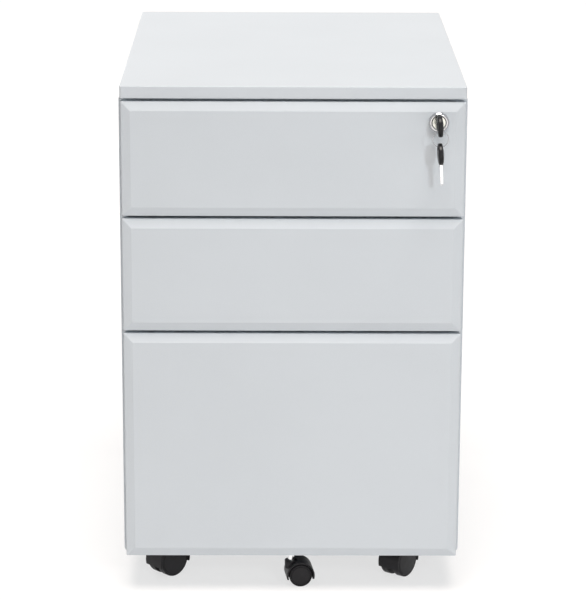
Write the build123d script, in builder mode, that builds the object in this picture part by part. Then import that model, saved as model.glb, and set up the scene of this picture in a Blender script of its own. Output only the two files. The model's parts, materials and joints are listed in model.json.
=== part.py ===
"""Three-drawer steel filing cabinet on casters, as separate sheet-metal pieces.

Millimetres, +Z up, floor at Z = 0. The front faces -Y. Depths are measured back from the
plane of the drawer fronts, and the key standing out in front of it counts in the overall depth,
so the origin is below the middle of the whole object.
"""
import os
from math import cos, radians, sin, sqrt

from build123d import *

# Overall size
cabinet_width = 390.0
cabinet_depth = 520.0
cabinet_height = 600.0
sheet = 1.0

# Carcass
front_clearance = 2.0
flange = 9.0
bend_radius = 4.0
rim_height = 14.2
top_inset = 2.0
top_setback = 3.0
top_corner = 3.0
top_lip = 12.0
upright_depth = 14.0
upright_width = 25.0
front_upright_depth = 42.0
rear_upright_gap = 64.0
rail_width = 12.0
rail_height = 12.0
notch_half_width = 40.0
notch_depth = 34.0

# Drawer fronts
front_inset = 3.0
front_depth = 18.0
front_gap = 3.0
box_front_height = 131.0
bevel_width = 10.5
bevel_depth = 4.0
liner_fit = 0.2
bumper_radius = 3.0
bumper_gap = 0.3
bumper_inset = 30.0

# Drawer trays
tray_lift = 9.0
box_tray_drop = 42.0
file_tray_drop = 28.8
tray_hem = 5.0
tray_back_drop = 6.0
file_rail_width = 4.0
file_rail_height = 10.0
pen_tray_depth = 110.0
pen_tray_height = 24.0
pen_tray_wall = 2.0
pen_tray_margin = 1.0
pen_pockets = 3

# Telescopic slides
slide_thickness = 12.7
slide_height = 45.0
slide_wall = 1.2
slide_gap = 0.4
slide_lift = 30.0
slide_front_gap = 3.0
slide_back_gap = 46.0

# Lock
lock_from_side = 30.1
lock_from_top = 22.2
bezel_radius = 11.3
bezel_proud = 3.5
bezel_chamfer = 1.2
barrel_radius = 9.2
barrel_length = 30.0
plug_radius = 7.2
plug_recess = 0.6
running_fit = 0.05
nut_radius = 14.0
nut_thickness = 3.0
cam_thickness = 2.0
cam_radius = 10.0
cam_pin_radius = 2.0
cam_pin_play = 0.4
cam_screw_radius = 2.0
cam_screw_length = 7.0
cam_screw_head_radius = 3.4
cam_screw_head = 2.4
bar_lift = 9.5
bar_thickness = 2.0
bar_width = 11.0
bar_gap = 1.0
bar_front_gap = 3.0
fork_gap = 1.0
fork_thickness = 2.0
fork_half_height = 7.0
bar_tail = 5.0
guide_wall = 1.4
guide_height = 10.0
guide_fit = 0.3
guide_drop = 14.0
catch_width = 8.0
catch_gap = 3.0
catch_length = 15.0
catch_thickness = 2.0
catch_drop = 2.0
tooth_height = 8.0
tooth_length = 4.0
hook_length = 4.0
hook_height = 6.0
hook_clear = 2.5

# Keys
bow_radius = 12.2
bow_length = 23.6
bow_thickness = 7.6
bow_rim = 4.6
bow_gap = 7.1
bow_rounding = 1.8
hole_length = 11.6
hole_width = 4.6
hole_margin = 2.6
key_thickness = 2.4
key_width = 9.0
key_length = 23.4
key_tang = 8.5
key_play = 0.2
key_tip = 2.5
key_groove = 1.8
key_groove_depth = 0.5
key_notch = 1.6
key_notches = 4
key_lean = 3.5
ring_radius = 8.9
ring_wire = 0.5
ring_play = 0.3

# Casters
wheel_radius = 20.0
wheel_pair_width = 28.0
caster_trail = 14.0
fifth_wheel_radius = 13.5
fifth_pair_width = 28.0
fifth_trail = 10.0
fifth_stem_depth = 31.0
caster_web = 6.5
fifth_web = 9.0
wheel_play = 0.5
wheel_rounding = 2.2
hood_wall = 2.2
hood_play = 0.8
hood_low_share = 0.7
boss_radius = 7.5
stem_radius = 4.0
stem_bore_depth = 6.0
stem_end_gap = 0.5
collar_radius = 8.0
collar_height = 1.5
collar_gap = 0.3
fifth_hood_drop = 15.0
nut_across = 7.5
stem_nut_height = 5.0
axle_radius = 2.5
axle_end_gap = 2.0
axle_play = 0.3
caster_from_side = 58.8
front_caster_depth = 73.0
rear_caster_gap = 62.0
caster_clearance = 2.0
bracket_half_width = 25.0
bracket_depth = 22.0
bracket_wall = 1.5
front_left_heading = 224.0
front_right_heading = 235.0
rear_left_heading = 205.0
rear_right_heading = 318.0
fifth_heading = 7.0

# Heights and places worked out from the sizes above
key_reach = bezel_proud + bow_gap + bow_length
front_y = -(cabinet_depth - key_reach) / 2
half_width = cabinet_width / 2
front_width = cabinet_width - 2 * front_inset
top_width = cabinet_width - 2 * top_inset
floor_gap = 2 * wheel_radius + hood_play + hood_wall + caster_clearance
rim_bottom = cabinet_height - rim_height
top_front_top = rim_bottom - front_gap
top_front_bottom = top_front_top - box_front_height
middle_front_top = top_front_bottom - front_gap
middle_front_bottom = middle_front_top - box_front_height
file_front_top = middle_front_bottom - front_gap
file_front_bottom = floor_gap
base_bottom = floor_gap + sheet
base_top = base_bottom + sheet
box_tray_height = box_front_height - tray_lift - box_tray_drop
file_tray_height = file_front_top - file_front_bottom - tray_lift - file_tray_drop
back_inner = cabinet_depth - sheet
carcass_setback = front_depth + front_clearance
rear_upright_depth = back_inner - rear_upright_gap - upright_width
rear_caster_depth = cabinet_depth - rear_caster_gap
side_inner = half_width - sheet
bend_start = half_width - bend_radius
flange_edge = half_width - flange
slide_outer = side_inner - upright_depth
tray_half = slide_outer - slide_thickness
slide_front = carcass_setback + slide_front_gap
slide_back = back_inner - slide_back_gap
tray_back = slide_back
lock_x = front_width / 2 - lock_from_side
lock_z = top_front_top - lock_from_top
bow_bulge = (bow_thickness - bow_rim) / 2
bow_dome = (bow_radius**2 + bow_bulge**2) / (2 * bow_bulge)
dome_y = bow_radius / 2
dome_x = bow_thickness / 2 - bow_dome + sqrt(bow_dome**2 - dome_y**2)
hole_reach = bow_radius - hole_margin - hole_width / 2
hole_drop = (hole_length - hole_width) / 2
key_out = Vector(0, -1, 0)
key_across = Vector(cos(radians(key_lean)), 0, sin(radians(key_lean)))
key_down = Vector(sin(radians(key_lean)), 0, -cos(radians(key_lean)))
drawers = {
    "top_drawer": (top_front_bottom, top_front_top, box_tray_height),
    "middle_drawer": (middle_front_bottom, middle_front_top, box_tray_height),
    "file_drawer": (file_front_bottom, file_front_top, file_tray_height),
}

os.makedirs("parts", exist_ok=True)


def save(piece, name):
    """Label a finished piece and write it as its own file."""
    piece.part.label = name
    export_step(piece.part, f"parts/{name}.step")


def facing(depth):
    """Plane parallel to the fronts, a depth behind them, seen from the front."""
    return Plane.XZ.offset(-(front_y + depth))


def block(across, depth, height, mode=Mode.ADD):
    """Box between limits across the cabinet, behind the fronts and above the floor."""
    centre = (sum(across) / 2, front_y + sum(depth) / 2, sum(height) / 2)
    with Locations(centre):
        Box(across[1] - across[0], depth[1] - depth[0], height[1] - height[0], mode=mode)


def rod(radius, x, z, depth, mode=Mode.ADD):
    """Round bar along the depth of the cabinet, between two depths."""
    with Locations((x, front_y + sum(depth) / 2, z)):
        Cylinder(radius, depth[1] - depth[0], rotation=(90, 0, 0), mode=mode)


def upright_rod(radius, x, depth, height, mode=Mode.ADD):
    """Round bar standing between two heights."""
    with Locations((x, front_y + depth, sum(height) / 2)):
        Cylinder(radius, height[1] - height[0], mode=mode)


# Carcass: side panels, folded inward on all four edges
with BuildPart() as right_side_panel:
    side_height = rim_bottom - floor_gap
    side_middle = (rim_bottom + floor_gap) / 2
    with BuildSketch(facing(carcass_setback)) as side_outline:
        with Locations((half_width - flange / 2, side_middle)):
            Rectangle(flange, side_height)
        fillet(side_outline.vertices().group_by(Axis.X)[-1], bend_radius)
    extrude(amount=carcass_setback - back_inner)
    with BuildSketch(facing(carcass_setback + sheet)) as side_hollow:
        with Locations((half_width - flange / 2 - sheet, side_middle)):
            Rectangle(flange, side_height - 2 * sheet)
        fillet(side_hollow.vertices().group_by(Axis.X)[-1], bend_radius - sheet)
    extrude(amount=carcass_setback - back_inner + 2 * sheet, mode=Mode.SUBTRACT)
save(right_side_panel, "right_side_panel")

with BuildPart() as left_side_panel:
    mirror(right_side_panel.part, about=Plane.YZ)
save(left_side_panel, "left_side_panel")

with BuildPart() as back_panel:
    block(
        (-bend_start, bend_start),
        (back_inner, cabinet_depth),
        (floor_gap, rim_bottom),
    )
save(back_panel, "back_panel")

# Top panel: a folded pan with a return lip that rests on the side panels
with BuildPart() as top_panel:
    top_half = top_width / 2
    top_depth = cabinet_depth - top_setback
    block((-top_half, top_half), (top_setback, cabinet_depth), (rim_bottom, cabinet_height))
    fillet(top_panel.edges().filter_by(Axis.Z), top_corner)
    with BuildSketch(Plane.XY.offset(rim_bottom + sheet)):
        with Locations((0, front_y + (top_setback + cabinet_depth) / 2)):
            RectangleRounded(top_width - 2 * sheet, top_depth - 2 * sheet, top_corner - sheet)
    extrude(amount=rim_height - 2 * sheet, mode=Mode.SUBTRACT)
    block(
        (-top_half + top_lip, top_half - top_lip),
        (carcass_setback + top_lip, cabinet_depth - top_lip),
        (rim_bottom, rim_bottom + sheet),
        Mode.SUBTRACT,
    )
save(top_panel, "top_panel")

# Base panel, notched at the front for the fifth caster's bracket
caster_x = half_width - caster_from_side
caster_places = {
    "front_left": (-caster_x, front_caster_depth),
    "front_right": (caster_x, front_caster_depth),
    "rear_left": (-caster_x, rear_caster_depth),
    "rear_right": (caster_x, rear_caster_depth),
}
headings = {
    "front_left": front_left_heading,
    "front_right": front_right_heading,
    "rear_left": rear_left_heading,
    "rear_right": rear_right_heading,
}
with BuildPart() as base_panel:
    base_front = carcass_setback + sheet
    block((-bend_start, bend_start), (base_front, back_inner - sheet), (base_bottom, base_top))
    block(
        (-notch_half_width, notch_half_width),
        (base_front, base_front + notch_depth),
        (base_bottom, base_top),
        Mode.SUBTRACT,
    )
    for stem_x, stem_depth in caster_places.values():
        upright_rod(
            stem_radius + running_fit, stem_x, stem_depth, (base_bottom, base_top), Mode.SUBTRACT
        )
save(base_panel, "base_panel")

with BuildPart() as front_rail:
    rail_front = carcass_setback + sheet
    rail_top = rim_bottom - sheet
    block(
        (-bend_start, bend_start),
        (rail_front, rail_front + rail_width),
        (rail_top - rail_height, rail_top),
    )
    block(
        (-bend_start, bend_start),
        (rail_front + sheet, rail_front + rail_width - sheet),
        (rail_top - rail_height, rail_top - sheet),
        Mode.SUBTRACT,
    )
save(front_rail, "front_rail")

# Uprights: channels on the side panels that the slides screw to
with BuildPart() as slide_uprights:
    for upright_front in (front_upright_depth, rear_upright_depth):
        upright_back = upright_front + upright_width
        upright_height = (floor_gap + bend_radius, rim_bottom - bend_radius)
        block((slide_outer, side_inner), (upright_front, upright_back), upright_height)
        block(
            (slide_outer + sheet, side_inner),
            (upright_front + sheet, upright_back - sheet),
            upright_height,
            Mode.SUBTRACT,
        )
    mirror(about=Plane.YZ)
save(slide_uprights, "slide_uprights")


def channel(across, middle_height, height, open_side):
    """Slide rail along the depth: a channel open to the left (-1) or the right (1)."""
    low = middle_height - height / 2
    high = middle_height + height / 2
    run = (slide_front, slide_back)
    block(across, run, (low, high))
    inside = (across[0], across[1] - slide_wall)
    if open_side > 0:
        inside = (across[0] + slide_wall, across[1])
    block(inside, run, (low + slide_wall, high - slide_wall), Mode.SUBTRACT)


# Slides: three nested channels on each side of each drawer
step = slide_wall + slide_gap
outer_across = (tray_half + slide_wall + 2 * step, slide_outer)
middle_across = (tray_half + step, slide_outer - step)
inner_across = (tray_half, slide_outer - 2 * step)
middle_rail_height = slide_height - 2 * step
inner_rail_height = middle_rail_height - 2 * step

with BuildPart() as slide_outer_rails:
    for front_bottom, front_top, tray_height in drawers.values():
        channel(outer_across, front_bottom + tray_lift + slide_lift, slide_height, -1)
    mirror(about=Plane.YZ)
save(slide_outer_rails, "slide_outer_rails")

for drawer, (front_bottom, front_top, tray_height) in drawers.items():
    slide_z = front_bottom + tray_lift + slide_lift
    with BuildPart() as middle_rails:
        channel(middle_across, slide_z, middle_rail_height, -1)
        mirror(about=Plane.YZ)
    save(middle_rails, f"{drawer}_middle_rails")
    with BuildPart() as inner_rails:
        channel(inner_across, slide_z, inner_rail_height, 1)
        mirror(about=Plane.YZ)
    save(inner_rails, f"{drawer}_inner_rails")

# Bumpers on the side panels' front flanges, two behind each front
with BuildPart() as drawer_bumpers:
    bumper_x = (flange_edge + front_width / 2) / 2
    for front_bottom, front_top, tray_height in drawers.values():
        rod(
            bumper_radius,
            bumper_x,
            front_top - bumper_inset,
            (front_depth + bumper_gap, carcass_setback),
        )
    mirror(about=Plane.YZ)
save(drawer_bumpers, "drawer_bumpers")


# Drawers: bevelled front, liner, folded tray, tray back and lock catch
bar_inner = slide_outer + bar_gap
bar_outer = bar_inner + bar_thickness
bar_front = carcass_setback + bar_front_gap
bar_back = bar_front + bar_width
catch_across = (tray_half + catch_gap, tray_half + catch_gap + catch_width)
catch_back = front_depth + catch_length
lock_depths = (-bezel_proud, barrel_length)

for drawer, (front_bottom, front_top, tray_height) in drawers.items():
    front_height = front_top - front_bottom
    front_middle = (front_top + front_bottom) / 2
    tray_floor = front_bottom + tray_lift
    tray_top = tray_floor + tray_height
    has_lock = drawer == "top_drawer"

    with BuildPart() as front:
        with BuildSketch(facing(front_depth)):
            with Locations((0, front_middle)):
                Rectangle(front_width, front_height)
        extrude(amount=front_depth - bevel_depth)
        with BuildSketch(facing(bevel_depth)):
            with Locations((0, front_middle)):
                Rectangle(front_width, front_height)
        with BuildSketch(facing(0)):
            with Locations((0, front_middle)):
                Rectangle(front_width - 2 * bevel_width, front_height - 2 * bevel_width)
        loft()
        offset(amount=-sheet, openings=front.faces().sort_by(Axis.Y)[-1], kind=Kind.INTERSECTION)
        if has_lock:
            rod(barrel_radius + running_fit, lock_x, lock_z, (0, front_depth), Mode.SUBTRACT)
    save(front, f"{drawer}_front")

    with BuildPart() as liner:
        margin = sheet + liner_fit
        block(
            (-front_width / 2 + margin, front_width / 2 - margin),
            (front_depth - sheet, front_depth),
            (front_bottom + margin, front_top - margin),
        )
        if has_lock:
            rod(barrel_radius + running_fit, lock_x, lock_z, (0, front_depth), Mode.SUBTRACT)
    save(liner, f"{drawer}_front_liner")

    with BuildPart() as tray:
        inside = tray_half - sheet
        run = (front_depth, tray_back)
        block((-tray_half, tray_half), run, (tray_floor, tray_top))
        block((-inside, inside), run, (tray_floor + sheet, tray_top - sheet), Mode.SUBTRACT)
        mouth = inside - tray_hem
        block((-mouth, mouth), run, (tray_top - sheet, tray_top), Mode.SUBTRACT)
    save(tray, f"{drawer}_tray")

    with BuildPart() as back:
        block(
            (-tray_half, tray_half),
            (tray_back, tray_back + sheet),
            (tray_floor, tray_top - tray_back_drop),
        )
    save(back, f"{drawer}_back")

    with BuildPart() as catch:
        arm_bottom = tray_top - catch_drop
        block(catch_across, (front_depth, catch_back), (arm_bottom, arm_bottom + catch_thickness))
        block(
            catch_across,
            (catch_back - tooth_length, catch_back),
            (arm_bottom - tooth_height, arm_bottom),
        )
    save(catch, f"{drawer}_catch")

# Pen tray on the floor of the top drawer
with BuildPart() as pen_tray:
    pen_half = tray_half - sheet - pen_tray_margin
    pen_floor = top_front_bottom + tray_lift + sheet
    pen_front = front_depth + pen_tray_margin
    block(
        (-pen_half, pen_half),
        (pen_front, pen_front + pen_tray_depth),
        (pen_floor, pen_floor + pen_tray_height),
    )
    pocket_pitch = (2 * pen_half - pen_tray_wall) / pen_pockets
    for pocket in range(pen_pockets):
        pocket_left = -pen_half + pen_tray_wall + pocket * pocket_pitch
        block(
            (pocket_left, pocket_left + pocket_pitch - pen_tray_wall),
            (pen_front + pen_tray_wall, pen_front + pen_tray_depth - pen_tray_wall),
            (pen_floor + pen_tray_wall, pen_floor + pen_tray_height),
            Mode.SUBTRACT,
        )
save(pen_tray, "pen_tray")

# Rails for hanging folders, along the top of the file drawer's sides
file_tray_top = file_front_bottom + tray_lift + file_tray_height
with BuildPart() as hanging_rails:
    block(
        (tray_half - file_rail_width, tray_half),
        (front_depth, tray_back),
        (file_tray_top, file_tray_top + file_rail_height),
    )
    mirror(about=Plane.YZ)
save(hanging_rails, "hanging_rails")

# Lock on the top drawer: barrel, nut, plug, cam and screw
with BuildPart() as lock_barrel:
    rod(bezel_radius, lock_x, lock_z, (-bezel_proud, 0))
    chamfer(lock_barrel.edges().sort_by(Axis.Y)[0], bezel_chamfer)
    rod(barrel_radius, lock_x, lock_z, (0, barrel_length))
    rod(plug_radius + running_fit, lock_x, lock_z, lock_depths, Mode.SUBTRACT)
save(lock_barrel, "lock_barrel")

with BuildPart() as lock_nut:
    with BuildSketch(facing(front_depth)):
        with Locations((lock_x, lock_z)):
            RegularPolygon(nut_radius, 6)
            Circle(barrel_radius + running_fit, mode=Mode.SUBTRACT)
    extrude(amount=-nut_thickness)
save(lock_nut, "lock_nut")

with BuildPart() as lock_plug:
    plug_face = plug_recess - bezel_proud
    rod(plug_radius, lock_x, lock_z, (plug_face, barrel_length))
    slot_end = barrel_length - cam_screw_length - cam_thickness
    slot_place = (lock_x, front_y + (plug_face + slot_end) / 2, lock_z)
    with Locations(Plane(slot_place, x_dir=key_across, z_dir=key_out)):
        Box(
            key_thickness + 2 * key_play,
            key_width + 2 * key_play,
            slot_end - plug_face,
            mode=Mode.SUBTRACT,
        )
    rod(
        cam_screw_radius + running_fit,
        lock_x,
        lock_z,
        (barrel_length - cam_screw_length, barrel_length),
        Mode.SUBTRACT,
    )
save(lock_plug, "lock_plug")

# The cam's pin goes from 45 degrees below the plug's axis to 45 degrees above it
cam_pin_offset = bar_lift / 2
cam_back = barrel_length + cam_thickness
fork_front = cam_back + cam_screw_head + fork_gap
fork_back = fork_front + fork_thickness
pin_x = lock_x + cam_pin_offset
pin_z = lock_z - cam_pin_offset
with BuildPart() as lock_cam:
    rod(cam_radius, lock_x, lock_z, (barrel_length, cam_back))
    rod(cam_pin_radius, pin_x, pin_z, (cam_back, fork_back + fork_gap))
    rod(cam_screw_radius + running_fit, lock_x, lock_z, (barrel_length, cam_back), Mode.SUBTRACT)
save(lock_cam, "lock_cam")

with BuildPart() as cam_screw:
    rod(cam_screw_head_radius, lock_x, lock_z, (cam_back, cam_back + cam_screw_head))
    rod(cam_screw_radius, lock_x, lock_z, (barrel_length - cam_screw_length, cam_back))
save(cam_screw, "cam_screw")

# Lock bar: a strip that the cam lifts, with a fork for the pin and a hook below each catch
hook_tops = [
    front_bottom + tray_lift + tray_height - catch_drop - tooth_height - hook_clear
    for front_bottom, front_top, tray_height in drawers.values()
]
with BuildPart() as lock_bar:
    fork_top = pin_z + fork_half_height
    fork_bottom = pin_z - fork_half_height
    bar_bottom = min(hook_tops) - hook_height - bar_tail
    block((bar_inner, bar_outer), (bar_front, bar_back), (bar_bottom, fork_top))
    block((bar_inner, bar_outer), (bar_front, fork_back), (fork_bottom, fork_top))
    pin_swing = cam_pin_offset * (sqrt(2) - 1)
    slot_left = pin_x - cam_pin_radius - cam_pin_play
    slot_right = pin_x + pin_swing + cam_pin_radius + cam_pin_play
    slot_reach = cam_pin_radius + cam_pin_play
    block(
        (slot_left - fork_thickness, bar_outer),
        (fork_front, fork_back),
        (fork_bottom, fork_top),
    )
    block(
        (slot_left, slot_right),
        (fork_front, fork_back),
        (pin_z - slot_reach, pin_z + slot_reach),
        Mode.SUBTRACT,
    )
    for hook_top in hook_tops:
        block(
            (catch_across[0], bar_inner),
            (bar_front, bar_front + hook_length),
            (hook_top - hook_height, hook_top),
        )
save(lock_bar, "lock_bar")

with BuildPart() as lock_bar_guides:
    room = guide_fit + guide_wall
    for front_above in (top_front_bottom, middle_front_bottom):
        guide_low = front_above - guide_drop
        height = (guide_low, guide_low + guide_height)
        block(
            (bar_inner - room, bar_outer + room),
            (bar_front - room, front_upright_depth),
            height,
        )
        block(
            (bar_inner - guide_fit, bar_outer + guide_fit),
            (bar_front - guide_fit, bar_back + guide_fit),
            height,
            Mode.SUBTRACT,
        )
save(lock_bar_guides, "lock_bar_guides")


# Keys: each has a steel blade with its tang moulded into a round black bow
def key(name, place):
    """Key along the plane's normal, with the middle of its bow at the plane's origin."""
    bow_base = bow_radius - bow_length
    tang_end = bow_base + key_tang
    with BuildPart(place) as bow:
        with BuildSketch(place):
            with BuildLine():
                Line((-bow_thickness / 2, 0), (bow_thickness / 2, 0))
                ThreePointArc((bow_thickness / 2, 0), (dome_x, dome_y), (bow_rim / 2, bow_radius))
                Line((bow_rim / 2, bow_radius), (-bow_rim / 2, bow_radius))
                ThreePointArc((-bow_rim / 2, bow_radius), (-dome_x, dome_y), (-bow_thickness / 2, 0))
            make_face()
        revolve(axis=Axis(place.origin, place.x_dir))
        fillet(bow.edges().group_by(SortBy.LENGTH)[-1], bow_rounding)
        with Locations((0, 0, (bow_base - bow_radius) / 2)):
            Box(bow_thickness, 2 * bow_radius, bow_base + bow_radius, mode=Mode.SUBTRACT)
        with Locations((0, 0, (bow_base + tang_end) / 2)):
            Box(
                key_thickness + 2 * running_fit,
                key_width + 2 * running_fit,
                key_tang + 2 * running_fit,
                mode=Mode.SUBTRACT,
            )
        with Locations((0, 0, hole_reach)):
            Box(bow_thickness, 2 * hole_drop, hole_width, mode=Mode.SUBTRACT)
        with Locations((0, -hole_drop, hole_reach), (0, hole_drop, hole_reach)):
            Cylinder(hole_width / 2, bow_thickness, rotation=(0, 90, 0), mode=Mode.SUBTRACT)
    save(bow, f"{name}_bow")

    with BuildPart(place) as blade:
        with Locations((0, 0, (tang_end + bow_base - key_length) / 2)):
            Box(key_thickness, key_width, key_length + key_tang)
        tip_edges = blade.edges().filter_by(Axis(place.origin, place.x_dir))
        chamfer(tip_edges.group_by(Axis(place.origin, place.z_dir))[0], key_tip)
        with Locations((0, 0, bow_base - key_length / 2)):
            for side in (-1, 1):
                with Locations((side * key_thickness / 2, side * key_groove / 2, 0)):
                    Box(2 * key_groove_depth, key_groove, key_length, mode=Mode.SUBTRACT)
        for notch in range(key_notches):
            notch_place = bow_base - key_length * (notch + 1) / (key_notches + 1)
            with Locations((0, key_width / 2, notch_place)):
                Box(key_thickness, key_notch, key_notch, rotation=(45, 0, 0), mode=Mode.SUBTRACT)
    save(blade, f"{name}_blade")


# The ring hangs in the low end of the first bow's hole, and the spare key hangs on the ring.
# Across the bow's thickness the ring's wire falls by ring_dip.
ring_dip = ring_radius - sqrt(ring_radius**2 - (bow_thickness / 2) ** 2)
ring_offset = Vector(0, 0, -(hole_width / 2 - ring_wire - ring_dip - ring_play))
ring_fall = Vector(0, 0, -ring_radius)
key_middle = Vector(lock_x, front_y - key_reach + bow_radius, lock_z)
ring_pivot = key_middle + key_out * hole_reach + key_down * hole_drop
ring_middle = ring_pivot + ring_offset + ring_fall
spare_pivot = ring_middle + ring_fall + ring_offset
spare_middle = spare_pivot + key_down * hole_reach
key("key", Plane(key_middle, x_dir=key_across, z_dir=key_out))
key("spare_key", Plane(spare_middle, x_dir=key_across, z_dir=-key_down))

with BuildPart(Plane(ring_middle, x_dir=(1, 0, 0), z_dir=key_out)) as key_ring:
    Torus(ring_radius, ring_wire)
save(key_ring, "key_ring")


# Casters: a hood that swivels on a fixed stem, an axle pressed into it and a pair of wheels
def caster(name, place, radius, pair_width, web, trail, hood_top):
    """Twin-wheel caster, with its stem at the plane's origin and its wheels trailing along X."""
    arch = radius + hood_play + hood_wall
    wheel_inner = web / 2 + wheel_play
    wheel_width = pair_width / 2 - wheel_inner
    hood_low = radius * hood_low_share
    with BuildPart(place) as hood:
        with Locations((trail, 0, radius)):
            Cylinder(arch, pair_width, rotation=(90, 0, 0))
        with Locations((0, 0, (hood_top + radius) / 2)):
            Cylinder(boss_radius, hood_top - radius)
        with Locations((trail / 2, 0, (hood_top + radius) / 2)):
            Box(trail, web, hood_top - radius)
        with Locations((trail, 0, (hood_low - arch) / 2)):
            Box(2 * (trail + arch), 2 * pair_width, hood_low + arch, mode=Mode.SUBTRACT)
        cheek = pair_width - web
        for side in (-1, 1):
            with Locations((trail, side * (web + cheek) / 2, radius)):
                Cylinder(radius + hood_play, cheek, rotation=(90, 0, 0), mode=Mode.SUBTRACT)
        with Locations((trail, 0, radius)):
            Cylinder(axle_radius, web, rotation=(90, 0, 0), mode=Mode.SUBTRACT)
        with Locations((0, 0, hood_top - stem_bore_depth / 2)):
            Cylinder(stem_radius + running_fit, stem_bore_depth, mode=Mode.SUBTRACT)
        with Locations((trail, 0, radius)):
            Cylinder(axle_radius - running_fit, pair_width - 2 * axle_end_gap, rotation=(90, 0, 0))
    save(hood, f"{name}_caster_hood")

    with BuildPart(place) as wheels:
        for side in (-1, 1):
            with Locations((trail, side * (wheel_inner + wheel_width / 2), radius)):
                Cylinder(radius, wheel_width, rotation=(90, 0, 0))
        fillet(wheels.edges().filter_by(GeomType.CIRCLE), wheel_rounding)
        with Locations((trail, 0, radius)):
            bore_length = pair_width - 2 * axle_end_gap + 2 * axle_play
            Cylinder(axle_radius + axle_play, bore_length, rotation=(90, 0, 0), mode=Mode.SUBTRACT)
    save(wheels, f"{name}_caster_wheels")


def heading(x, depth, angle):
    """Plane on the floor below a caster's stem, turned to where its wheels trail."""
    direction = (cos(radians(angle)), sin(radians(angle)), 0)
    return Plane((x, front_y + depth, 0), x_dir=direction, z_dir=(0, 0, 1))


collar_bottom = base_bottom - collar_height
corner_hood_top = collar_bottom - collar_gap
for name, (stem_x, stem_depth) in caster_places.items():
    place = heading(stem_x, stem_depth, headings[name])
    caster(
        name, place, wheel_radius, wheel_pair_width, caster_web, caster_trail, corner_hood_top
    )

with BuildPart() as caster_stems:
    for stem_x, stem_depth in caster_places.values():
        upright_rod(collar_radius, stem_x, stem_depth, (collar_bottom, base_bottom))
        stem_low = corner_hood_top - stem_bore_depth + stem_end_gap
        upright_rod(stem_radius, stem_x, stem_depth, (stem_low, base_top + stem_nut_height))
save(caster_stems, "caster_stems")

with BuildPart() as caster_nuts:
    with BuildSketch(Plane.XY.offset(base_top)):
        for stem_x, stem_depth in caster_places.values():
            with Locations((stem_x, front_y + stem_depth)):
                RegularPolygon(nut_across, 6)
                Circle(stem_radius + running_fit, mode=Mode.SUBTRACT)
    extrude(amount=stem_nut_height)
save(caster_nuts, "caster_nuts")

# Fifth caster: a bracket below the file drawer's tray carries its stem
file_tray_floor = file_front_bottom + tray_lift
with BuildPart() as fifth_bracket:
    bracket_across = (-bracket_half_width, bracket_half_width)
    bracket_run = (front_depth, front_depth + bracket_depth)
    block(bracket_across, bracket_run, (base_bottom, file_tray_floor))
    block(
        bracket_across,
        (front_depth, front_depth + bracket_depth - bracket_wall),
        (base_bottom + bracket_wall, file_tray_floor - bracket_wall),
        Mode.SUBTRACT,
    )
    upright_rod(
        stem_radius + running_fit,
        0,
        fifth_stem_depth,
        (base_bottom, base_bottom + bracket_wall),
        Mode.SUBTRACT,
    )
save(fifth_bracket, "fifth_caster_bracket")

fifth_collar_bottom = base_bottom - collar_height
fifth_hood_top = fifth_collar_bottom - fifth_hood_drop
with BuildPart() as fifth_stem:
    upright_rod(collar_radius, 0, fifth_stem_depth, (fifth_collar_bottom, base_bottom))
    stem_low = fifth_hood_top - stem_bore_depth + stem_end_gap
    stem_high = file_tray_floor - bracket_wall - stem_end_gap
    upright_rod(stem_radius, 0, fifth_stem_depth, (stem_low, stem_high))
save(fifth_stem, "fifth_caster_stem")
fifth_place = heading(0, fifth_stem_depth, fifth_heading)
caster(
    "fifth",
    fifth_place,
    fifth_wheel_radius,
    fifth_pair_width,
    fifth_web,
    fifth_trail,
    fifth_hood_top,
)
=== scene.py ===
"""Looks of a steel three-drawer filing cabinet: finishes, dressed shapes and the photo stage."""
import json
import math
from typing import NamedTuple

import bmesh
import bpy
from bpy.props import FloatProperty, FloatVectorProperty, PointerProperty
from mathutils import Matrix, Vector


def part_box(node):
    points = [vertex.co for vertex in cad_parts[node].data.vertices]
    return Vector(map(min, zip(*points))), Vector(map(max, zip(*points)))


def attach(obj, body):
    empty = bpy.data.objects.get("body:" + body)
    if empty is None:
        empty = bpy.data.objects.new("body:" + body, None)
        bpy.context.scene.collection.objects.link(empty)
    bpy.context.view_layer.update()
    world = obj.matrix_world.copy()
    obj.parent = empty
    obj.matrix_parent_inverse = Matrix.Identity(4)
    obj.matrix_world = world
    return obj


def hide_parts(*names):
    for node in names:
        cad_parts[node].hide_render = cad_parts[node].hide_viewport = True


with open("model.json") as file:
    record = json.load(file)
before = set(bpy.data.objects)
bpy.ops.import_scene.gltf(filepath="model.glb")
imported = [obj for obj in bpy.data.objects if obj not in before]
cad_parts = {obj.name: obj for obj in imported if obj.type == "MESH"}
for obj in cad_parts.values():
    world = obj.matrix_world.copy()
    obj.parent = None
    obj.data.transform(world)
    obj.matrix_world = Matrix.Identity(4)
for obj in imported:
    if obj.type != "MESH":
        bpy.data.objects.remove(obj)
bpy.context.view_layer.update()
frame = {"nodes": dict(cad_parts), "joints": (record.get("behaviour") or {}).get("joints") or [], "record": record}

bl_info = {
    "name": "Filing Cabinet Looks",
    "version": (1, 0, 0),
    "blender": (4, 5, 0),
    "location": "View3D > Sidebar > Cabinet",
    "description": "Dresses a packed filing cabinet with finishes, rounded sheet metal and casters",
    "category": "Object",
}

MM = 0.001
TINY = 0.00001
SHARP = math.radians(38)
TURNED_SIDES = 72
SOCKET_SIDES = 40
HOLE_SIDES = 48
DUST = (0.16, 0.155, 0.15)
DRAWERS = ("top_drawer", "middle_drawer", "file_drawer")
CASTERS = ("front_left", "front_right", "rear_left", "rear_right", "fifth")
JOINTS = {joint["name"]: joint for joint in frame["joints"]}
FRONT_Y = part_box("file_drawer_front")[0].y


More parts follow.
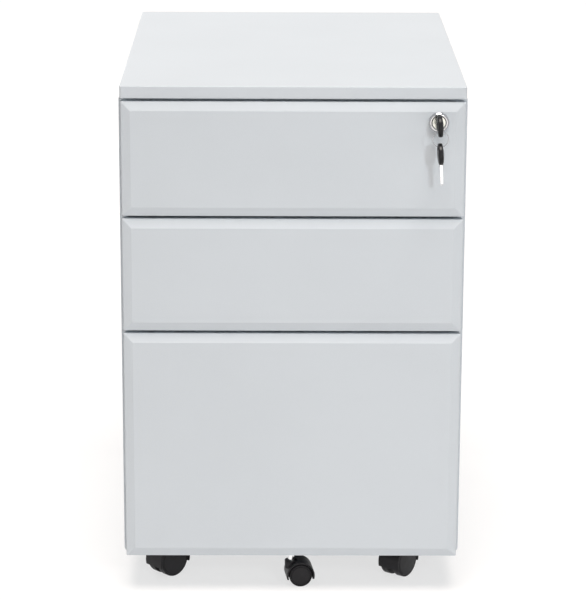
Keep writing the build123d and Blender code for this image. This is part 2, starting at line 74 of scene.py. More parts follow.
# Sizes and colours that a user would change
def length(name, description, default):
    """A length property in metres."""
    return FloatProperty(name=name, description=description, default=default, unit="LENGTH", precision=5)


def colour(name, description, default):
    """A linear colour property."""
    return FloatVectorProperty(
        name=name, description=description, default=default, size=3, subtype="COLOR", min=0, max=1
    )


class CabinetSheet(bpy.types.PropertyGroup):
    """Bends and bevels of the folded steel."""

    thickness: length("Sheet", "Thickness of the folded steel", 1.0 * MM)
    bevel_width: length("Bevel width", "Width of the sloping border on each front", 10.5 * MM)
    bevel_depth: length("Bevel depth", "How far the border slopes back", 4.0 * MM)
    draft: length("Draft", "How far the returns of a front draw in towards the back", 1.0 * MM)
    crease: length("Crease", "Radius where the border meets the flat of a front", 1.6 * MM)
    fold: length("Fold", "Radius of the tight folds round fronts and top", 1.3 * MM)
    inner_fold: length("Inner fold", "Radius inside the tight folds", 0.4 * MM)
    return_edge: length("Return edge", "Rounding of the rear edge of a front", 0.3 * MM)
    cut_edge: length("Cut edge", "Rounding of the other cut edges of the sheet", 0.2 * MM)
    flange_edge: length("Flange edge", "Chamfer on the end flanges of the side panels", 0.6 * MM)
    bend: length("Bend", "Radius of the wide bends of the side panels", 4.0 * MM)
    top_corner: length("Top corner", "Radius of the top panel's corners in plan", 3.0 * MM)
    front_corner: length("Front corner", "Radius of a front's corners", 1.2 * MM)
    top_lip: length("Top lip", "Width of the folded lip under the top panel", 12.0 * MM)
    fit: length("Fit", "Gap round the lock's barrel and plug", 0.05 * MM)


class CabinetCasters(bpy.types.PropertyGroup):
    """Shape of the moulded casters."""

    hood_wall: length("Hood wall", "Thickness of the hood over the wheels", 2.0 * MM)
    hood_play: length("Hood play", "Gap between the hood and the wheels", 1.0 * MM)
    hood_edge: length("Hood edge", "Rounding of the hood's rim", 0.6 * MM)
    wheel_play: length("Wheel play", "Gap between a wheel and the plate beside it", 0.5 * MM)
    tread_edge: length("Tread edge", "Rounding of the wheel's shoulders", 1.8 * MM)
    face_dome: length("Face dome", "Rise of a wheel's face towards its middle", 0.6 * MM)
    face_groove: length("Face groove", "Width of the groove round a wheel's face", 0.7 * MM)
    axle_radius: length("Axle radius", "Radius of the hole for the axle", 2.8 * MM)
    boss: length("Boss", "Radius of the hood's socket for the stem", 7.5 * MM)
    stem_radius: length("Stem radius", "Radius of the hole for the stem", 4.05 * MM)
    stem_depth: length("Stem depth", "Depth of the hole for the stem", 6.0 * MM)
    break_edge: length("Broken edge", "Small chamfer on the moulded plates", 0.4 * MM)


class CabinetLock(bpy.types.PropertyGroup):
    """Shape of the lock's bezel and of the split ring."""

    rim_slope: length("Rim slope", "Width of the bezel's outer slope", 1.6 * MM)
    rim_drop: length("Rim drop", "Depth of the bezel's outer slope", 1.4 * MM)
    rim_round: length("Rim round", "Rounding at both ends of the outer slope", 0.8 * MM)
    mouth_slope: length("Mouth slope", "Width of the slope round the plug", 1.3 * MM)
    mouth_drop: length("Mouth drop", "Depth of the slope round the plug", 1.2 * MM)
    mouth_round: length("Mouth round", "Rounding at the top of the slope round the plug", 0.5 * MM)
    mouth_edge: length("Mouth edge", "Rounding at the foot of the slope round the plug", 0.4 * MM)
    rear_round: length("Rear round", "Rounding of the barrel's rear edge", 0.6 * MM)
    fine_edge: length("Fine edge", "Rounding of the sharpest edges", 0.2 * MM)
    wire: length("Wire", "Radius of the split ring's wire", 0.36 * MM)
    ring_inset: length("Ring inset", "From the ring's outside to the middle of its wire", 0.6 * MM)


class CabinetColours(bpy.types.PropertyGroup):
    """Colours of the finishes."""

    silver: colour("Silver coat", "Powder coat on panels and fronts", (0.630, 0.684, 0.730))
    inside: colour("Inside coat", "Powder coat on the drawer trays", (0.520, 0.568, 0.608))
    zinc: colour("Zinc", "Plated slides and brackets", (0.585, 0.615, 0.640))
    chrome: colour("Chrome", "Bezel of the lock and split ring", (0.360, 0.368, 0.382))
    plating: colour("Plating", "Bright stems of the casters", (0.860, 0.865, 0.870))
    brass: colour("Brass", "Plated face of the lock's plug", (0.400, 0.418, 0.392))
    nickel: colour("Nickel", "Key blades", (0.860, 0.860, 0.855))
    nylon: colour("Nylon", "Caster hoods and wheels", (0.0085, 0.0078, 0.0096))
    bow: colour("Bow", "Plastic of the keys", (0.006, 0.006, 0.007))
    tray: colour("Pen tray", "Plastic of the pen tray", (0.030, 0.031, 0.033))
    rubber: colour("Rubber", "Bumpers behind the fronts", (0.022, 0.022, 0.022))
    floor: colour("Floor", "Studio floor", (1.000, 1.000, 1.000))


class CabinetStage(bpy.types.PropertyGroup):
    """Camera and light of the photo."""

    camera_x: length("Camera across", "Camera's place across the cabinet", -20.44 * MM)
    camera_back: length("Camera back", "Camera's distance in front of the drawer fronts", 2793.25 * MM)
    camera_height: length("Camera height", "Camera's height above the floor", 1131.61 * MM)
    pitch: FloatProperty(name="Pitch", description="Camera's tilt", default=-0.27104, subtype="ANGLE")
    yaw: FloatProperty(name="Yaw", description="Camera's turn", default=-0.00756, subtype="ANGLE")
    roll: FloatProperty(name="Roll", description="Camera's roll", default=-0.0045, subtype="ANGLE")
    lens: FloatProperty(name="Lens", description="Focal length in millimetres", default=153.683)
    sky: FloatProperty(name="Sky", description="Strength of the even studio light", default=0.06)
    floor_glow: FloatProperty(
        name="Floor glow", description="Share of plain white in the seen floor", default=0.68
    )
    floor_bounce: FloatProperty(
        name="Floor bounce", description="Share of the floor's colour in the light off it", default=0.77
    )


class CabinetSettings(bpy.types.PropertyGroup):
    """All settings of the cabinet's looks."""

    sheet: PointerProperty(type=CabinetSheet)
    casters: PointerProperty(type=CabinetCasters)
    lock: PointerProperty(type=CabinetLock)
    colours: PointerProperty(type=CabinetColours)
    stage: PointerProperty(type=CabinetStage)


def settings():
    """The scene's cabinet settings."""
    return bpy.context.scene.cabinet_looks


# Shader values and materials
class Wire:
    """A shader value; arithmetic on it adds Math nodes to its tree."""

    def __init__(self, tree, socket=None):
        self.tree = tree
        self.socket = socket

    def add(self, kind, choices=None, values=None, out=0):
        """Add any node: its choices are set first, then its sockets get values or links."""
        node = self.tree.nodes.new(kind)
        for name, value in (choices or {}).items():
            setattr(node, name, value)
        for key, value in (values or {}).items():
            if isinstance(value, Wire):
                self.tree.links.new(value.socket, node.inputs[key])
            else:
                node.inputs[key].default_value = value
        return Wire(self.tree, node.outputs[out]) if node.outputs else node

    def math(self, operation, *values):
        """A Math node over the given values."""
        return self.add("ShaderNodeMath", {"operation": operation}, dict(enumerate(values)))

    def __add__(self, other):
        return self.math("ADD", self, other)

    __radd__ = __add__

    def __sub__(self, other):
        return self.math("SUBTRACT", self, other)

    def __mul__(self, other):
        return self.math("MULTIPLY", self, other)

    def between(self, low, high):
        """Map low..high smoothly to 0..1."""
        return self.add(
            "ShaderNodeMapRange",
            {"interpolation_type": "SMOOTHSTEP"},
            {"Value": self, "From Min": low, "From Max": high},
        )

    def blend(self, first, second):
        """Mix two colours by this value."""
        return self.add(
            "ShaderNodeMix",
            {"data_type": "RGBA"},
            {"Factor": self, 6: shade(first), 7: shade(second)},
            out=2,
        )

    def place(self, stretch=(1, 1, 1)):
        """The piece's own coordinates, stretched along each axis."""
        spot = self.add("ShaderNodeTexCoord", out=3)
        return self.add("ShaderNodeVectorMath", {"operation": "MULTIPLY"}, {0: spot, 1: stretch})

    def noise(self, scale, detail=2.0, stretch=(1, 1, 1)):
        """Noise with a given number of grains per metre."""
        return self.add(
            "ShaderNodeTexNoise",
            values={"Vector": self.place(stretch), "Scale": scale, "Detail": detail, "Roughness": 0.55},
        )

    def cells(self, scale):
        """Distance to the nearest of scattered points."""
        return self.add("ShaderNodeTexVoronoi", values={"Vector": self.place(), "Scale": scale})

    def edges(self):
        """About 0.5 on flat faces, more on outer edges and less in corners."""
        return self.add("ShaderNodeNewGeometry", out=7)

    def seen(self):
        """1 where the camera, or a reflection in metal or glass, sees the surface, else 0."""
        paths = ("Is Camera Ray", "Is Glossy Ray", "Is Transmission Ray")
        camera, glossy, through = [self.add("ShaderNodeLightPath", out=path) for path in paths]
        return self.math("MAXIMUM", camera, self.math("MAXIMUM", glossy, through))

    def bump(self, strength, distance):
        """A bumped normal from this height."""
        return self.add(
            "ShaderNodeBump", values={"Strength": strength, "Distance": distance, "Height": self}
        )


def shade(tint):
    """A colour with its alpha, or a wire as it is."""
    return tint if isinstance(tint, Wire) else (*tint, 1.0)


def scaled(tint, factor):
    """A colour made darker or lighter, kept within white."""
    return tuple(min(1.0, part * factor) for part in tint)


def material(name, fixed, varying):
    """Make a material: fixed values sit on the shader's sockets, varying(wire) gives the links."""
    made = bpy.data.materials.new(name)
    made.use_nodes = True
    tree = made.node_tree
    shader = tree.nodes["Principled BSDF"]
    for socket, value in fixed.items():
        shader.inputs[socket].default_value = value
    for socket, wire in varying(Wire(tree)).items():
        tree.links.new(wire.socket, shader.inputs[socket])
    return made


def powder_coat(name, tint, peel_strength):
    """Powder-coated steel: orange peel, faint clouds, fine metallic grain, and convex edges painted paler, partly
    as wear and partly as a painted highlight.
    """

    def varying(wire):
        clouds = wire.noise(5.0, 3.0)
        peel = wire.noise(650.0, 1.0)
        grain = wire.cells(2600.0)
        # Convex edges are painted paler: partly light wear, partly a painted highlight where the rounded edges
        # catch the light
        edge_wear_and_highlight = wire.edges().between(0.52, 0.62)
        body = clouds.between(0.3, 0.7).blend(scaled(tint, 0.985), scaled(tint, 1.015))
        flakes = grain.between(0.1, 0.6).blend(scaled(tint, 1.05), body)
        return {
            "Base Color": (edge_wear_and_highlight * 0.12).blend(flakes, scaled(tint, 1.12)),
            "Roughness": 0.47 + clouds * 0.08 + grain * 0.06,
            "Normal": (peel + grain * 0.15).bump(peel_strength, 0.00008),
        }

    return material(name, {"IOR": 1.3}, varying)


def drawn_metal(name, tint, roughness, stretch, metallic):
    """Bare or plated metal with fine drawing lines, stains and handled patches."""

    def varying(wire):
        lines = wire.noise(900.0, 3.0, stretch)
        stains = wire.noise(60.0, 4.0)
        patches = stains.between(0.52, 0.75)
        return {
            "Base Color": (lines * 0.5 + patches * 0.5).blend(scaled(tint, 0.9), scaled(tint, 1.06)),
            "Roughness": roughness + lines * 0.12 + patches * 0.08,
            "Normal": lines.bump(0.12, 0.00005),
        }

    return material(name, {"Metallic": metallic}, varying)


def polished_metal(name, tint, roughness):
    """Polished plating with faint smudges and hair scratches."""

    def varying(wire):
        smudges = wire.noise(140.0, 3.0).between(0.5, 0.8)
        scratches = wire.noise(260.0, 2.0, (12, 1, 1)).between(0.62, 0.7)
        return {
            "Base Color": (smudges * 0.5).blend(tint, scaled(tint, 0.9)),
            "Roughness": roughness + smudges * 0.08 + scratches * 0.06,
            "Normal": scratches.bump(0.04, 0.00003),
        }

    return material(name, {"Metallic": 1.0}, varying)


def moulded_plastic(name, tint, roughness, grain_scale, dust):
    """Moulded plastic with a fine spark-eroded grain, rubbed edges and a little dust."""

    def varying(wire):
        grain = wire.noise(grain_scale, 2.0)
        patches = wire.noise(45.0, 4.0)
        rubbed = wire.edges().between(0.54, 0.66)
        dusty = patches.between(0.45, 0.8) * dust
        body = dusty.blend(tint, DUST)
        return {
            "Base Color": (rubbed * 0.25).blend(body, scaled(tint, 2.4)),
            "Roughness": roughness + patches * 0.14 - rubbed * 0.08,
            "Normal": grain.bump(0.22, 0.00006),
        }

    return material(name, {"IOR": 1.34}, varying)


def finishes():
    """Every finish of the cabinet by the name of its slot."""
    tints = settings().colours
    return {
        "silver_powder_coat": powder_coat("silver_powder_coat", tints.silver, 0.12),
        "inner_powder_coat": powder_coat("inner_powder_coat", tints.inside, 0.2),
        "zinc_steel": drawn_metal("zinc_steel", tints.zinc, 0.3, (1, 0.03, 1), 0.9),
        "key_steel": drawn_metal("key_steel", tints.nickel, 0.22, (1, 1, 0.05), 1.0),
        "chrome": polished_metal("chrome", tints.chrome, 0.09),
        "plated_brass": polished_metal("plated_brass", tints.brass, 0.16),
        "bright_plating": polished_metal("bright_plating", tints.plating, 0.14),
        "black_nylon": moulded_plastic("black_nylon", tints.nylon, 0.36, 1500.0, 0.03),
        "black_bow_plastic": moulded_plastic("black_bow_plastic", tints.bow, 0.24, 2200.0, 0.02),
        "pen_tray_plastic": moulded_plastic("pen_tray_plastic", tints.tray, 0.42, 1100.0, 0.08),
        "bumper_rubber": moulded_plastic("bumper_rubber", tints.rubber, 0.6, 2500.0, 0.1),
    }


# Mesh building
def rounded(points, radii, steps=4):
    """Round the corners of a 2-D path; a radius of zero leaves the point as it is."""
    path = []
    for index, (point, radius) in enumerate(zip(points, radii)):
        corner = Vector(point)
        if not radius:
            path.append(corner)
            continue
        last = index - 1
        following = (index + 1) % len(points)
        back = (Vector(points[last]) - corner).normalized()
        on = (Vector(points[following]) - corner).normalized()
        half = back.angle(on) / 2
        centre = corner + (back + on).normalized() * (radius / math.sin(half))
        reach = radius / math.tan(half)
        start = (corner + back * reach - centre).normalized()
        end = (corner + on * reach - centre).normalized()
        path += [centre + start.slerp(end, step / steps) * radius for step in range(steps + 1)]
    return path


def rectangle(half_width, half_height, radius):
    """Points round a rectangle with rounded corners."""
    corners = [(1, -1), (1, 1), (-1, 1), (-1, -1)]
    points = [(x * half_width, y * half_height) for x, y in corners]
    return rounded(points, [radius] * 4, 3)


def loft(mesh, rings, loop=False, open_ends=False):
    """Skin a row of closed rings; the ends are capped, left open or joined in a loop."""
    rows = [[mesh.verts.new(point) for point in ring] for ring in rings]
    followers = rows[1:] + rows[:1] if loop else rows[1:]
    for row, following in zip(rows, followers):
        for index in range(len(row)):
            mesh.faces.new((row[index - 1], row[index], following[index], following[index - 1]))
    if not loop and not open_ends:
        mesh.faces.new(rows[0])
        mesh.faces.new(rows[-1])
    return rows


def pan_rings(half_width, half_height, radius, path, place):
    """Rings of a folded pan: each (inset, depth) of the path is one rounded rectangle."""
    rings = []
    for inset, depth in path:
        flat = rectangle(half_width - inset, half_height - inset, radius)
        rings.append([place @ Vector((x, y, depth)) for x, y in flat])
    return rings


def lathe(mesh, profile, place, sides, loop=False):
    """Turn (radius, height) points round the place's Z axis; the ends are capped or joined in a loop."""
    turns = [2 * math.pi * index / sides for index in range(sides)]
    rings = [
        [place @ Vector((radius * math.cos(turn), radius * math.sin(turn), height)) for turn in turns]
        for radius, height in profile
    ]
    loft(mesh, rings, loop)


def prism(mesh, outline, low, high, edge, place):
    """A plate from a 2-D outline between two heights, with its long edges chamfered."""
    middle = sum(outline, Vector((0, 0))) / len(outline)
    rings = []
    for height, inset in ((low, edge), (low + edge, 0), (high - edge, 0), (high, edge)):
        ring = []
        for point in outline:
            inward = (middle - point).normalized() * inset
            ring.append(place @ Vector((*(point + inward), height)))
        rings.append(ring)
    loft(mesh, rings)


def axes(origin, across, up):
    """A place whose X runs across, Y runs up and Z completes them."""
    across = Vector(across).normalized()
    up = Vector(up).normalized()
    turn = Matrix((across, up, across.cross(up))).transposed().to_4x4()
    return Matrix.Translation(origin) @ turn


def barrel_radius():
    """Radius of the lock's barrel behind the drawer front."""
    x, y, z = JOINTS["lock_turn"]["pos_m"]
    points = [vertex.co for vertex in frame["nodes"]["lock_barrel"].data.vertices]
    return max(math.hypot(point.x - x, point.z - z) for point in points if point.y > y + MM)


def piece(name, mesh, body, finish, *nodes):
    """Turn a built mesh into a piece that rides on a body, in place of CAD nodes if any are named."""
    bmesh.ops.recalc_face_normals(mesh, faces=mesh.faces)
    data = bpy.data.meshes.new(name)
    mesh.to_mesh(data)
    mesh.free()
    data.shade_smooth()
    data.set_sharp_from_angle(angle=SHARP)
    data.materials.append(bpy.data.materials[finish])
    made = bpy.data.objects.new(name, data)
    bpy.context.scene.collection.objects.link(made)
    flat = made.modifiers.new("flat_faces", "WEIGHTED_NORMAL")
    flat.keep_sharp = True
    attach(made, body)
    if nodes:
        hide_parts(*nodes)


# Operators: one for each group of pieces
class CABINET_OT_finishes(bpy.types.Operator):
    """Make the finishes and put each on the CAD nodes of its slot"""

    bl_idname = "cabinet.finishes"
    bl_label = "Finishes"

    def execute(self, context):
        # The frame's flat materials go first, so that the finishes get their plain names
        for plain in list(bpy.data.materials):
            bpy.data.materials.remove(plain)
        made = finishes()
        for entry in frame["record"]["subparts"]:
            node = frame["nodes"][entry["node"]]
            node.data.materials.clear()
            node.data.materials.append(made[entry["material_slot"]])
        frame["nodes"]["lock_plug"].data.materials[0] = made["plated_brass"]
        for stem in ("caster_stems", "fifth_caster_stem"):
            frame["nodes"][stem].data.materials[0] = made["bright_plating"]
        return {"FINISHED"}


class CABINET_OT_fronts(bpy.types.Operator):
    """Press the three bevelled drawer fronts"""

    bl_idname = "cabinet.fronts"
    bl_label = "Drawer fronts"

    def execute(self, context):
        sheet = settings().sheet
        thickness = sheet.thickness
        for drawer in DRAWERS:
            low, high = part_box(f"{drawer}_front")
            middle = (low + high) / 2
            half = (high - low) / 2
            depth = high.y - low.y
            flat = sheet.bevel_width + sheet.crease
            path = rounded(
                [
                    (flat, -thickness),
                    (sheet.bevel_width, -thickness),
                    (thickness, -sheet.bevel_depth - thickness / 2),
                    (sheet.draft + thickness, -depth),
                    (sheet.draft, -depth),
                    (0, -sheet.bevel_depth),
                    (sheet.bevel_width, 0),
                    (flat, 0),
                ],
                [
                    0,
                    sheet.crease - thickness / 2,
                    sheet.inner_fold,
                    sheet.return_edge,
                    sheet.return_edge,
                    sheet.fold,
                    sheet.crease,
                    0,
                ],
            )
            mesh = bmesh.new()
            place = axes((middle.x, low.y, middle.z), (1, 0, 0), (0, 0, 1))
            rings = pan_rings(half.x, half.z, sheet.front_corner, path, place)
            if drawer == "top_drawer":
                rows = loft(mesh, rings, open_ends=True)
                self.bore(mesh, rows[0], rows[-1])
            else:
                loft(mesh, rings)
            piece(f"{drawer}_pressed_front", mesh, drawer, "silver_powder_coat", f"{drawer}_front")
        return {"FINISHED"}

    def bore(self, mesh, back, front):
        """Fill both faces of the top front, leaving the hole for the lock."""
        x, _, z = JOINTS["lock_turn"]["pos_m"]
        radius = barrel_radius() + settings().sheet.fit
        rims = []
        for row in (back, front):
            depth = row[0].co.y
            rim = []
            for index in range(HOLE_SIDES):
                turn = 2 * math.pi * index / HOLE_SIDES
                spot = (x + radius * math.cos(turn), depth, z + radius * math.sin(turn))
                rim.append(mesh.verts.new(spot))
            edges = [mesh.edges.new((rim[index - 1], rim[index])) for index in range(HOLE_SIDES)]
            edges += [mesh.edges.get((row[index - 1], row[index])) for index in range(len(row))]
            bmesh.ops.triangle_fill(mesh, edges=edges, use_beauty=True, use_dissolve=False)
            rims.append(rim)
        for index in range(HOLE_SIDES):
            mesh.faces.new((rims[0][index - 1], rims[0][index], rims[1][index], rims[1][index - 1]))


class CABINET_OT_shell(bpy.types.Operator):
    """Fold the top panel and the two side panels"""

    bl_idname = "cabinet.shell"
    bl_label = "Shell"

    def execute(self, context):
        self.top()
        for side in ("left", "right"):
            self.side(f"{side}_side_panel")
        return {"FINISHED"}

    def top(self):
        """The top panel: a shallow pan with a return lip below."""
        sheet = settings().sheet
        thickness = sheet.thickness
        low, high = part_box("top_panel")
        middle = (low + high) / 2
        half = (high - low) / 2
        rim = high.z - low.z
        path = rounded(
            [
                (2 * sheet.top_corner, -thickness),
                (thickness, -thickness),
                (thickness, thickness - rim),
                (sheet.top_lip, thickness - rim),
                (sheet.top_lip, -rim),
                (0, -rim),
                (0, 0),
                (2 * sheet.top_corner, 0),
            ],
            [0, *[sheet.inner_fold] * 2, *[sheet.cut_edge] * 2, *[sheet.fold] * 2, 0],
        )
        mesh = bmesh.new()
        place = axes((middle.x, middle.y, high.z), (1, 0, 0), (0, 1, 0))
        loft(mesh, pan_rings(half.x, half.y, sheet.top_corner, path, place))
        piece("folded_top", mesh, "carcass", "silver_powder_coat", "top_panel")

    def side(self, node):
        """A side panel: a C-shaped fold along the depth, closed by a flange at each end."""
        sheet = settings().sheet
        thickness = sheet.thickness
        low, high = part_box(node)
        outer, inner = (high.x, low.x) if high.x > 0 else (low.x, high.x)
        inward = math.copysign(thickness, inner - outer)
        skin = outer + inward
        bends = [sheet.bend - thickness, sheet.bend - thickness, sheet.bend, sheet.bend]
        section = rounded(
            [
                (inner, high.z - thickness),
                (skin, high.z - thickness),
                (skin, low.z + thickness),
                (inner, low.z + thickness),
                (inner, low.z),
                (outer, low.z),
                (outer, high.z),
                (inner, high.z),
            ],
            [0, *bends[:2], 0, 0, *bends[2:], 0],
        )
        outline = rounded(
            [(inner, low.z), (outer, low.z), (outer, high.z), (inner, high.z)],
            [sheet.cut_edge, sheet.bend, sheet.bend, sheet.cut_edge],
        )
        mesh = bmesh.new()
        edge = sheet.flange_edge
        run = (low.y + edge, high.y - edge)
        loft(mesh, [[Vector((x, y, z)) for x, z in section] for y in run])
        place = axes((0, 0, 0), (1, 0, 0), (0, 0, 1))
        prism(mesh, outline, -low.y - thickness, -low.y, edge, place)
        prism(mesh, outline, -high.y, -high.y + thickness, edge, place)
        piece(f"folded_{node}", mesh, "carcass", "silver_powder_coat", node)


class CABINET_OT_casters(bpy.types.Operator):
    """Mould the hoods and wheels of the five casters"""

    bl_idname = "cabinet.casters"
    bl_label = "Casters"

    def execute(self, context):
        for name in CASTERS:
            stem = Vector(JOINTS[f"{name}_swivel"]["pos_m"])
            axle = Vector(JOINTS[f"{name}_roll"]["pos_m"])
            radius = axle.z
            trail = Vector((axle.x - stem.x, axle.y - stem.y, 0))
            place = axes(axle, trail, (0, 0, 1))
            along = place.to_3x3().col[2]
            wheels = frame["nodes"][f"{name}_caster_wheels"].data.vertices
            reach = [abs((vertex.co - axle).dot(along)) for vertex in wheels]
            hood_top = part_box(f"{name}_caster_hood")[1].z
            self.hood(name, place, radius, trail.length, min(reach), max(reach), hood_top)
            self.wheels(name, place, radius, min(reach), max(reach))
        return {"FINISHED"}

    def hood(self, name, place, radius, trail, near, wide, hood_top):
        """The hood: a round fender, a web between the wheels and a socket for the stem."""
        shape = settings().casters
        mesh = bmesh.new()
        inner = radius + shape.hood_play
        middle = inner + shape.hood_wall / 2
        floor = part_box(f"{name}_caster_hood")[0].z - radius
        section = rectangle(shape.hood_wall / 2, wide, shape.hood_edge)
        steps = 40
        rings = []
        for step in range(steps + 1):
            ring = []
            for out, along in section:
                reach = middle + out
                start = math.asin(floor / reach)
                turn = start + (math.pi - 2 * start) * step / steps
                ring.append(place @ Vector((reach * math.cos(turn), reach * math.sin(turn), along)))
            rings.append(ring)
        loft(mesh, rings)
        start = math.asin(floor / inner)
        arc = [start + (math.pi - 2 * start) * step / steps for step in range(steps + 1)]
        outline = [Vector((inner * math.cos(turn), inner * math.sin(turn))) for turn in arc]
        web = near - shape.wheel_play
        prism(mesh, outline, -web, web, shape.break_edge, place)
        rise = hood_top - radius
        neck = [Vector(point) for point in ((-trail, 0), (0, 0), (0, rise), (-trail, rise))]
        prism(mesh, neck, -web, web, shape.break_edge, place)
        bottom = rise - shape.stem_depth
        socket = rounded(
            [
                (shape.stem_radius, rise),
                (shape.stem_radius, bottom),
                (TINY, bottom),
                (TINY, bottom - 2 * shape.hood_wall),
                (shape.boss, bottom - 2 * shape.hood_wall),
                (shape.boss, rise),
            ],
            [shape.break_edge, 0, 0, 0, 2 * shape.break_edge, 2 * shape.break_edge],
        )
        stem_place = place @ axes((-trail, 0, 0), (0, 0, 1), (1, 0, 0))
        lathe(mesh, socket, stem_place, SOCKET_SIDES, loop=True)
        piece(f"{name}_moulded_hood", mesh, f"{name}_caster", "black_nylon", f"{name}_caster_hood")

    def wheels(self, name, place, radius, near, wide):
        """A pair of wheels with rounded shoulders, a mould line and a domed face in a groove."""
        shape = settings().casters
        middle = (near + wide) / 2
        line = shape.break_edge
        groove = shape.face_groove
        face = radius - shape.tread_edge - groove
        shoulder = wide - shape.face_dome
        profile = rounded(
            [
                (TINY, shoulder - 2 * groove),
                (shape.axle_radius, shoulder - 2 * groove),
                (shape.axle_radius, near),
                (radius, near),
                (radius, middle - line),
                (radius - line, middle),
                (radius, middle + line),
                (radius, shoulder),
                (face + groove, shoulder),
                (face + groove / 2, shoulder - groove),
                (face, shoulder),
                (face / 2, wide - shape.face_dome / 4),
                (TINY, wide),
            ],
            [0, 0, 0, shape.tread_edge / 2, 0, 0, 0, shape.tread_edge * 0.8, 0, 0, groove / 3, 0, 0],
            3,
        )
        mesh = bmesh.new()
        for side in (1, -1):
            lathe(mesh, [(reach, side * along) for reach, along in profile], place, TURNED_SIDES)
        piece(f"{name}_moulded_wheels", mesh, f"{name}_wheels", "black_nylon", f"{name}_caster_wheels")


class CABINET_OT_lock(bpy.types.Operator):
    """Turn the lock's bezel and coil the split ring of the keys"""

    bl_idname = "cabinet.lock"
    bl_label = "Lock and ring"

    def execute(self, context):
        self.bezel()
        self.ring()
        return {"FINISHED"}

    def bezel(self):
        """The lock's barrel with a rounded chrome bezel in front."""
        x, y, z = JOINTS["lock_turn"]["pos_m"]
        low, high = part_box("lock_barrel")
        shape = settings().lock
        proud = y - low.y
        reach = high.x - x
        barrel = barrel_radius()
        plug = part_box("lock_plug")[1].x - x + settings().sheet.fit
        profile = rounded(
            [
                (plug, y - high.y),
                (barrel, y - high.y),
                (barrel, 0),
                (reach, 0),
                (reach, proud - shape.rim_drop),
                (reach - shape.rim_slope, proud),
                (plug + shape.mouth_slope, proud),
                (plug, proud - shape.mouth_drop),
            ],
            [
                shape.fine_edge,
                shape.rear_round,
                0,
                shape.fine_edge,
                shape.rim_round,
                shape.rim_round,
                shape.mouth_round,
                shape.mouth_edge,
            ],
        )
        mesh = bmesh.new()
        lathe(mesh, profile, axes((x, y, z), (1, 0, 0), (0, 0, 1)), TURNED_SIDES, loop=True)
        piece("turned_bezel", mesh, "top_drawer", "chrome", "lock_barrel")

    def ring(self):
        """The split ring: two turns of wire side by side."""
        shape = settings().lock
        low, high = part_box("key_ring")
        centre = (low + high) / 2
        radius = (high.x - low.x) / 2 - shape.ring_inset
        aside = Vector((0, shape.wire, 0))
        steps = 128
        sides = 10
        first_turn = 1.0
        steepness = 12
        rings = []
        for step in range(steps + 1):
            turn = 4 * math.pi * step / steps + first_turn
            cross = max(-1.0, min(1.0, (step / steps - 0.5) * steepness))
            outward = Vector((math.cos(turn), 0, math.sin(turn)))
            point = centre + outward * radius + aside * cross
            ring = []
            for index in range(sides):
                swing = 2 * math.pi * index / sides
                ring.append(point + outward * (shape.wire * math.cos(swing)) + aside * math.sin(swing))
            rings.append(ring)
        mesh = bmesh.new()
        loft(mesh, rings)
        piece("split_ring", mesh, "key_ring", "chrome", "key_ring")


# Stage: floor, sky, lamps and camera
class Lamp(NamedTuple):
    """A soft light; its spread is an angle for a sun and a width in metres for an area."""

    name: str
    kind: str
    tint: tuple
    spot: tuple
    target: tuple
    spread: float
    power: float


FLOOR_REACH = 14
SKY_TINT = (0.92, 0.98, 1.03)
LOCK_SIDE = (0.16, FRONT_Y, 0.56)
FRONT_FOOT = (0.1, FRONT_Y, 0.1)
BACK_MIDDLE = (0, -FRONT_Y, 0.35)
LAMPS = (
    Lamp("ceiling_light", "SUN", (1.0, 0.93, 0.88), (0, -0.7, 3), (0, 0, 0), math.radians(35), 3.55),
    Lamp("side_light", "AREA", (0.95, 0.99, 1.02), (0.69, -1.84, 0.96), LOCK_SIDE, 0.12, 5.4),
    Lamp("low_fill", "AREA", (1.0, 0.9, 0.84), (0.2, -1.6, 0.05), FRONT_FOOT, 0.7, 3.0),
    Lamp("back_light", "AREA", (1.0, 0.99, 0.985), (-1.4, 2.6, 1.3), BACK_MIDDLE, 0.8, 14.0),
)


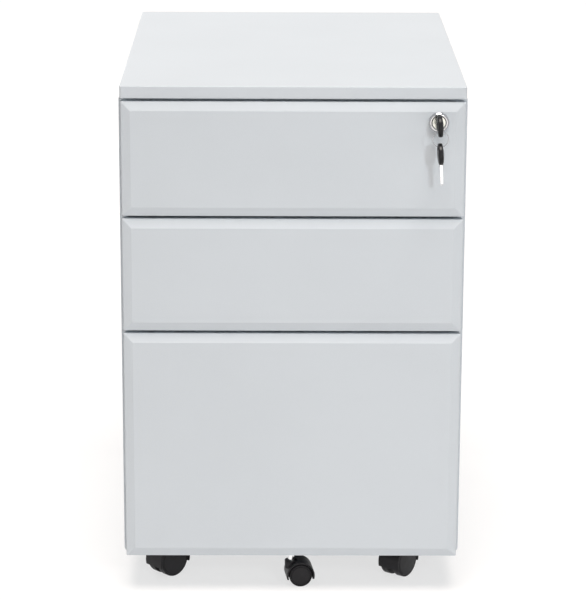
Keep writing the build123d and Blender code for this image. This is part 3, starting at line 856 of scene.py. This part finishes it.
class CABINET_OT_stage(bpy.types.Operator):
    """Set up the pale floor, the soft light and the camera"""

    bl_idname = "cabinet.stage"
    bl_label = "Stage"

    def execute(self, context):
        self.floor()
        self.sky(context.scene)
        for lamp in LAMPS:
            self.light(lamp)
        self.camera(context.scene)
        context.scene.view_settings.view_transform = "Standard"
        return {"FINISHED"}

    def floor(self):
        """A wide floor, seen as near white with the cabinet's soft shadow."""
        stage = settings().stage
        tint = settings().colours.floor
        mesh = bmesh.new()
        bmesh.ops.create_grid(mesh, x_segments=1, y_segments=1, size=FLOOR_REACH)
        data = bpy.data.meshes.new("floor")
        mesh.to_mesh(data)
        mesh.free()
        floor = bpy.data.objects.new("floor", data)
        bpy.context.scene.collection.objects.link(floor)
        made = bpy.data.materials.new("studio_floor")
        made.use_nodes = True
        tree = made.node_tree
        tree.nodes.clear()
        wire = Wire(tree)
        seen = wire.seen()
        tone = seen.blend(scaled(tint, stage.floor_bounce), tint)
        matt = wire.add("ShaderNodeBsdfDiffuse", values={"Color": tone})
        glow = wire.add("ShaderNodeEmission", values={"Color": shade((1, 1, 1)), "Strength": 1.0})
        both = wire.add("ShaderNodeMixShader", values={0: seen * stage.floor_glow, 1: matt, 2: glow})
        wire.add("ShaderNodeOutputMaterial", values={"Surface": both})
        data.materials.append(made)

    def sky(self, scene):
        """An even white sky: pure white where the camera sees it, softer as light."""
        world = bpy.data.worlds.new("studio")
        world.use_nodes = True
        tree = world.node_tree
        tree.nodes.clear()
        wire = Wire(tree)
        strength = settings().stage.sky
        soft = wire.add("ShaderNodeBackground", values={"Color": shade(SKY_TINT), "Strength": strength})
        white = wire.add("ShaderNodeBackground", values={"Color": shade((1, 1, 1)), "Strength": 1.0})
        both = wire.add("ShaderNodeMixShader", values={0: wire.seen(), 1: soft, 2: white})
        wire.add("ShaderNodeOutputWorld", values={"Surface": both})
        scene.world = world

    def light(self, lamp):
        """Add one lamp of the table, aimed at its target."""
        data = bpy.data.lights.new(lamp.name, lamp.kind)
        if lamp.kind == "SUN":
            data.angle = lamp.spread
        else:
            data.size = lamp.spread
        data.energy = lamp.power
        data.color = lamp.tint
        light = bpy.data.objects.new(lamp.name, data)
        bpy.context.scene.collection.objects.link(light)
        light.location = lamp.spot
        light.visible_camera = False
        aim = Vector(lamp.target) - Vector(lamp.spot)
        light.rotation_euler = aim.to_track_quat("-Z", "Y").to_euler()

    def camera(self, scene):
        """The camera of the photo, fitted to the cabinet's corners."""
        stage = settings().stage
        data = bpy.data.cameras.new("camera")
        data.lens = stage.lens
        data.sensor_width = 36
        camera = bpy.data.objects.new("camera", data)
        scene.collection.objects.link(camera)
        turn = (
            Matrix.Rotation(stage.yaw, 4, "Z")
            @ Matrix.Rotation(stage.pitch, 4, "X")
            @ Matrix.Rotation(stage.roll, 4, "Y")
            @ Matrix.Rotation(math.pi / 2, 4, "X")
        )
        spot = (stage.camera_x, FRONT_Y - stage.camera_back, stage.camera_height)
        camera.matrix_world = Matrix.Translation(spot) @ turn
        scene.camera = camera


class CABINET_PT_looks(bpy.types.Panel):
    """Sidebar panel with the cabinet's settings and steps"""

    bl_label = "Cabinet Looks"
    bl_space_type = "VIEW_3D"
    bl_region_type = "UI"
    bl_category = "Cabinet"

    def draw(self, context):
        looks = context.scene.cabinet_looks
        for group in (looks.sheet, looks.casters, looks.lock, looks.colours, looks.stage):
            box = self.layout.box()
            for name in group.__annotations__:
                box.prop(group, name)
        for step in STEPS:
            self.layout.operator(step.bl_idname)


STEPS = (
    CABINET_OT_finishes,
    CABINET_OT_fronts,
    CABINET_OT_shell,
    CABINET_OT_casters,
    CABINET_OT_lock,
    CABINET_OT_stage,
)
GROUPS = (CabinetSheet, CabinetCasters, CabinetLock, CabinetColours, CabinetStage, CabinetSettings)


def register():
    """Register the settings, steps and panel."""
    for kind in (*GROUPS, *STEPS, CABINET_PT_looks):
        bpy.utils.register_class(kind)
    bpy.types.Scene.cabinet_looks = PointerProperty(type=CabinetSettings)


def unregister():
    """Remove the panel, steps and settings."""
    del bpy.types.Scene.cabinet_looks
    for kind in reversed((*GROUPS, *STEPS, CABINET_PT_looks)):
        bpy.utils.unregister_class(kind)


def main():
    """Dress the cabinet step by step."""
    register()
    bpy.ops.cabinet.finishes()
    bpy.ops.cabinet.fronts()
    bpy.ops.cabinet.shell()
    bpy.ops.cabinet.casters()
    bpy.ops.cabinet.lock()
    bpy.ops.cabinet.stage()
    bpy.context.view_layer.update()


if __name__ == "__main__":
    main()
